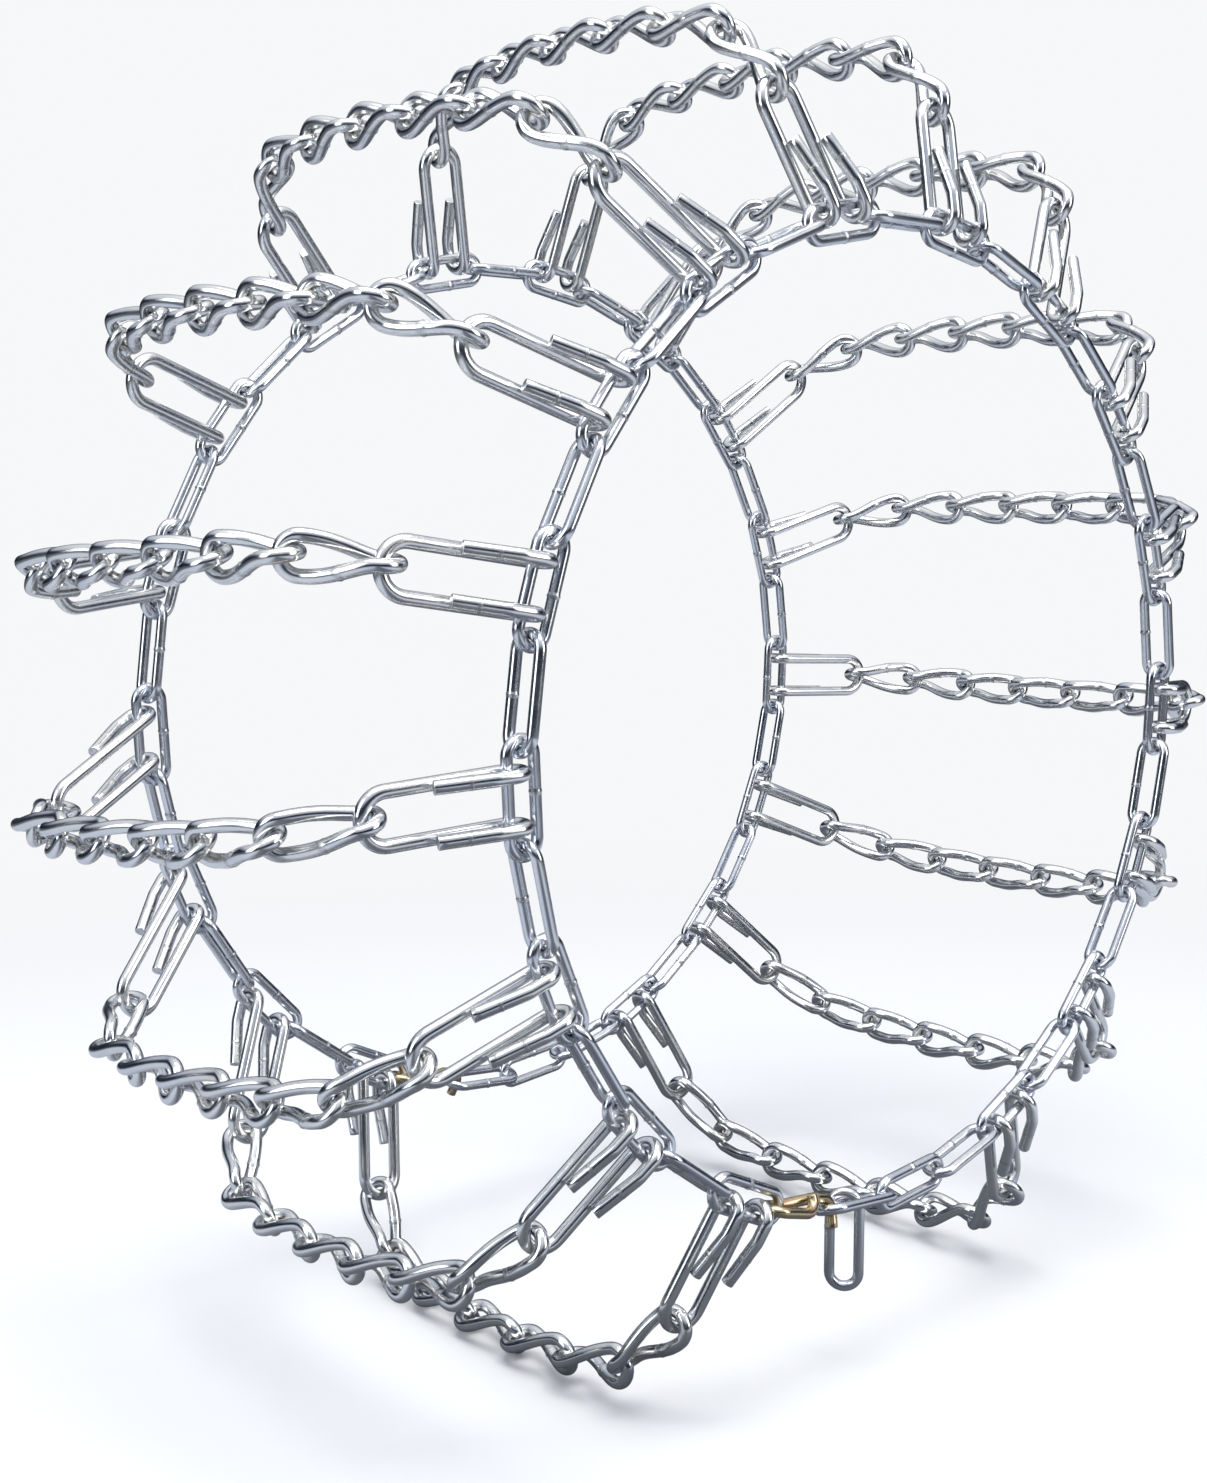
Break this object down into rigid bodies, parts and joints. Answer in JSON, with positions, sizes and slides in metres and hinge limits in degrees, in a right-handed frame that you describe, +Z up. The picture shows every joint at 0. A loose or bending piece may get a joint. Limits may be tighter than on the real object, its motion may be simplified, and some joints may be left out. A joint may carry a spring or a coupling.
{
  "type": "tire snow chain",
  "caption": "Ladder-pattern tyre chain in its fitted shape: two side chains of straight links, twisted-link cross chains with hook links, wire fasteners and a spare link.",
  "frame": {"origin": "the middle of the tyre that the chain is fitted round: on the axle, halfway between the two side chains", "axes": "+Z up, the axle along Y with the outer sidewall towards -Y, +X in the direction that the side links are counted"},
  "size_m": [0.5365, 0.2392, 0.5147],
  "materials": {
    "side_zinc": "bright clear zinc plating on round steel wire",
    "cross_zinc": "bright clear zinc plating on thicker round steel wire",
    "yellow_zinc": "yellow chromate zinc plating, with a bare copper-coloured cut end"
  },
  "bodies": {
    "link_00": {"side_link_00": "side_zinc"},
    "link_01": {"side_link_01": "side_zinc"},
    "link_02": {"side_link_02": "side_zinc"},
    "link_03": {"side_link_03": "side_zinc", "cross_chain_01": "cross_zinc"},
    "link_04": {"side_link_04": "side_zinc"},
    "link_05": {"side_link_05": "side_zinc", "cross_chain_02": "cross_zinc"},
    "link_06": {"side_link_06": "side_zinc"},
    "link_07": {"side_link_07": "side_zinc", "cross_chain_03": "cross_zinc"},
    "link_08": {"side_link_08": "side_zinc"},
    "link_09": {"side_link_09": "side_zinc", "cross_chain_04": "cross_zinc"},
    "link_10": {"side_link_10": "side_zinc"},
    "link_11": {"side_link_11": "side_zinc", "cross_chain_05": "cross_zinc"},
    "link_12": {"side_link_12": "side_zinc"},
    "link_13": {"side_link_13": "side_zinc", "cross_chain_06": "cross_zinc"},
    "link_14": {"side_link_14": "side_zinc"},
    "link_15": {"side_link_15": "side_zinc", "cross_chain_07": "cross_zinc"},
    "link_16": {"side_link_16": "side_zinc"},
    "link_17": {"side_link_17": "side_zinc", "cross_chain_08": "cross_zinc"},
    "link_18": {"side_link_18": "side_zinc"},
    "link_19": {"side_link_19": "side_zinc", "cross_chain_09": "cross_zinc"},
    "link_20": {"side_link_20": "side_zinc"},
    "link_21": {"side_link_21": "side_zinc", "cross_chain_10": "cross_zinc"},
    "link_22": {"side_link_22": "side_zinc"},
    "link_23": {"side_link_23": "side_zinc", "cross_chain_11": "cross_zinc"},
    "link_24": {"side_link_24": "side_zinc"},
    "link_25": {"side_link_25": "side_zinc", "cross_chain_12": "cross_zinc"},
    "link_26": {"side_link_26": "side_zinc"},
    "link_27": {"side_link_27": "side_zinc", "cross_chain_13": "cross_zinc"},
    "link_28": {"side_link_28": "side_zinc"},
    "link_29": {"side_link_29": "side_zinc", "cross_chain_14": "cross_zinc"},
    "link_30": {"side_link_30": "side_zinc"},
    "link_31": {"side_link_31": "side_zinc", "cross_chain_15": "cross_zinc"},
    "link_32": {"side_link_32": "side_zinc"},
    "link_33": {"side_link_33": "side_zinc", "cross_chain_16": "cross_zinc"},
    "outer_fastener": {"outer_fastener": "yellow_zinc"},
    "inner_fastener": {"inner_fastener": "yellow_zinc"},
    "spare_link": {"spare_link": "side_zinc"}
  },
  "joints": [
    {"name": "unroll", "type": "hinge", "parent": "link_01", "child": "link_02", "pos_m": [0.0324, 0, -0.18113], "axis": [0, 1, 0], "range_deg": [0, 10.3]},
    {"name": "bend_03", "type": "hinge", "parent": "link_02", "child": "link_03", "pos_m": [0.06427, 0, -0.17241], "axis": [0, 1, 0], "range_deg": [0, 10.3]},
    {"name": "bend_04", "type": "hinge", "parent": "link_03", "child": "link_04", "pos_m": [0.09407, 0, -0.15813], "axis": [0, 1, 0], "range_deg": [0, 10.3]},
    {"name": "bend_05", "type": "hinge", "parent": "link_04", "child": "link_05", "pos_m": [0.12084, 0, -0.13876], "axis": [0, 1, 0], "range_deg": [0, 10.3]},
    {"name": "bend_06", "type": "hinge", "parent": "link_05", "child": "link_06", "pos_m": [0.14371, 0, -0.1149], "axis": [0, 1, 0], "range_deg": [0, 10.3]},
    {"name": "bend_07", "type": "hinge", "parent": "link_06", "child": "link_07", "pos_m": [0.16195, 0, -0.08735], "axis": [0, 1, 0], "range_deg": [0, 10.3]},
    {"name": "bend_08", "type": "hinge", "parent": "link_07", "child": "link_08", "pos_m": [0.17496, 0, -0.05697], "axis": [0, 1, 0], "range_deg": [0, 10.3]},
    {"name": "bend_09", "type": "hinge", "parent": "link_08", "child": "link_09", "pos_m": [0.18233, 0, -0.02475], "axis": [0, 1, 0], "range_deg": [0, 10.3]},
    {"name": "bend_10", "type": "hinge", "parent": "link_09", "child": "link_10", "pos_m": [0.18382, 0, 0.00826], "axis": [0, 1, 0], "range_deg": [0, 10.3]},
    {"name": "bend_11", "type": "hinge", "parent": "link_10", "child": "link_11", "pos_m": [0.17937, 0, 0.041], "axis": [0, 1, 0], "range_deg": [0, 10.3]},
    {"name": "bend_12", "type": "hinge", "parent": "link_11", "child": "link_12", "pos_m": [0.16915, 0, 0.07243], "axis": [0, 1, 0], "range_deg": [0, 10.3]},
    {"name": "bend_13", "type": "hinge", "parent": "link_12", "child": "link_13", "pos_m": [0.15346, 0, 0.10151], "axis": [0, 1, 0], "range_deg": [0, 10.3]},
    {"name": "bend_14", "type": "hinge", "parent": "link_13", "child": "link_14", "pos_m": [0.13283, 0, 0.12733], "axis": [0, 1, 0], "range_deg": [0, 10.3]},
    {"name": "bend_15", "type": "hinge", "parent": "link_14", "child": "link_15", "pos_m": [0.10791, 0, 0.14903], "axis": [0, 1, 0], "range_deg": [0, 10.3]},
    {"name": "bend_16", "type": "hinge", "parent": "link_15", "child": "link_16", "pos_m": [0.07952, 0, 0.16593], "axis": [0, 1, 0], "range_deg": [0, 10.3]},
    {"name": "bend_17", "type": "hinge", "parent": "link_16", "child": "link_17", "pos_m": [0.04855, 0, 0.17748], "axis": [0, 1, 0], "range_deg": [0, 10.3]},
    {"name": "bend_18", "type": "hinge", "parent": "link_17", "child": "link_18", "pos_m": [0.01602, 0, 0.1833], "axis": [0, 1, 0], "range_deg": [0, 10.3]},
    {"name": "bend_19", "type": "hinge", "parent": "link_18", "child": "link_19", "pos_m": [-0.01702, 0, 0.18321], "axis": [0, 1, 0], "range_deg": [0, 10.3]},
    {"name": "bend_20", "type": "hinge", "parent": "link_19", "child": "link_20", "pos_m": [-0.04952, 0, 0.17721], "axis": [0, 1, 0], "range_deg": [0, 10.3]},
    {"name": "bend_21", "type": "hinge", "parent": "link_20", "child": "link_21", "pos_m": [-0.08042, 0, 0.1655], "axis": [0, 1, 0], "range_deg": [0, 10.3]},
    {"name": "bend_22", "type": "hinge", "parent": "link_21", "child": "link_22", "pos_m": [-0.10872, 0, 0.14844], "axis": [0, 1, 0], "range_deg": [0, 10.3]},
    {"name": "bend_23", "type": "hinge", "parent": "link_22", "child": "link_23", "pos_m": [-0.13352, 0, 0.1266], "axis": [0, 1, 0], "range_deg": [0, 10.3]},
    {"name": "bend_24", "type": "hinge", "parent": "link_23", "child": "link_24", "pos_m": [-0.15401, 0, 0.10068], "axis": [0, 1, 0], "range_deg": [0, 10.3]},
    {"name": "bend_25", "type": "hinge", "parent": "link_24", "child": "link_25", "pos_m": [-0.16954, 0, 0.0715], "axis": [0, 1, 0], "range_deg": [0, 10.3]},
    {"name": "bend_26", "type": "hinge", "parent": "link_25", "child": "link_26", "pos_m": [-0.17959, 0, 0.04003], "axis": [0, 1, 0], "range_deg": [0, 10.3]},
    {"name": "bend_27", "type": "hinge", "parent": "link_26", "child": "link_27", "pos_m": [-0.18386, 0, 0.00726], "axis": [0, 1, 0], "range_deg": [0, 10.3]},
    {"name": "bend_28", "type": "hinge", "parent": "link_27", "child": "link_28", "pos_m": [-0.18219, 0, -0.02575], "axis": [0, 1, 0], "range_deg": [0, 10.3]},
    {"name": "bend_29", "type": "hinge", "parent": "link_28", "child": "link_29", "pos_m": [-0.17465, 0, -0.05792], "axis": [0, 1, 0], "range_deg": [0, 10.3]},
    {"name": "bend_30", "type": "hinge", "parent": "link_29", "child": "link_30", "pos_m": [-0.16147, 0, -0.08822], "axis": [0, 1, 0], "range_deg": [0, 10.3]},
    {"name": "bend_31", "type": "hinge", "parent": "link_30", "child": "link_31", "pos_m": [-0.14308, 0, -0.11568], "axis": [0, 1, 0], "range_deg": [0, 10.3]},
    {"name": "bend_32", "type": "hinge", "parent": "link_31", "child": "link_32", "pos_m": [-0.12008, 0, -0.13941], "axis": [0, 1, 0], "range_deg": [0, 10.3]},
    {"name": "bend_33", "type": "hinge", "parent": "link_32", "child": "link_33", "pos_m": [-0.09321, 0, -0.15864], "axis": [0, 1, 0], "range_deg": [0, 10.3]},
    {"name": "bend_00", "type": "hinge", "parent": "link_01", "child": "link_00", "pos_m": [-0.00053, 0, -0.184], "axis": [0, -1, 0], "range_deg": [0, 10.3]},
    {"name": "outer_fastener_lift", "type": "hinge", "parent": "link_33", "child": "outer_fastener", "pos_m": [-0.06139, -0.112, -0.17368], "axis": [0.0815, -0.9511, 0.2981], "range_deg": [0, 4]},
    {"name": "inner_fastener_lift", "type": "hinge", "parent": "link_33", "child": "inner_fastener", "pos_m": [-0.06139, 0.112, -0.17368], "axis": [-0.0815, -0.9511, -0.2981], "range_deg": [0, 4]},
    {"name": "spare_link_swing", "type": "hinge", "parent": "link_00", "child": "spare_link", "pos_m": [-0.01694, -0.10667, -0.18421], "axis": [0.9957, 0, -0.0926], "range_deg": [-40, 20]}
  ],
  "couplings": [
    {"joint": "bend_03", "follows": "unroll", "ratio": 1},
    {"joint": "bend_04", "follows": "unroll", "ratio": 1},
    {"joint": "bend_05", "follows": "unroll", "ratio": 1},
    {"joint": "bend_06", "follows": "unroll", "ratio": 1},
    {"joint": "bend_07", "follows": "unroll", "ratio": 1},
    {"joint": "bend_08", "follows": "unroll", "ratio": 1},
    {"joint": "bend_09", "follows": "unroll", "ratio": 1},
    {"joint": "bend_10", "follows": "unroll", "ratio": 1},
    {"joint": "bend_11", "follows": "unroll", "ratio": 1},
    {"joint": "bend_12", "follows": "unroll", "ratio": 1},
    {"joint": "bend_13", "follows": "unroll", "ratio": 1},
    {"joint": "bend_14", "follows": "unroll", "ratio": 1},
    {"joint": "bend_15", "follows": "unroll", "ratio": 1},
    {"joint": "bend_16", "follows": "unroll", "ratio": 1},
    {"joint": "bend_17", "follows": "unroll", "ratio": 1},
    {"joint": "bend_18", "follows": "unroll", "ratio": 1},
    {"joint": "bend_19", "follows": "unroll", "ratio": 1},
    {"joint": "bend_20", "follows": "unroll", "ratio": 1},
    {"joint": "bend_21", "follows": "unroll", "ratio": 1},
    {"joint": "bend_22", "follows": "unroll", "ratio": 1},
    {"joint": "bend_23", "follows": "unroll", "ratio": 1},
    {"joint": "bend_24", "follows": "unroll", "ratio": 1},
    {"joint": "bend_25", "follows": "unroll", "ratio": 1},
    {"joint": "bend_26", "follows": "unroll", "ratio": 1},
    {"joint": "bend_27", "follows": "unroll", "ratio": 1},
    {"joint": "bend_28", "follows": "unroll", "ratio": 1},
    {"joint": "bend_29", "follows": "unroll", "ratio": 1},
    {"joint": "bend_30", "follows": "unroll", "ratio": 1},
    {"joint": "bend_31", "follows": "unroll", "ratio": 1},
    {"joint": "bend_32", "follows": "unroll", "ratio": 1},
    {"joint": "bend_33", "follows": "unroll", "ratio": 1},
    {"joint": "bend_00", "follows": "unroll", "ratio": 1}
  ]
}
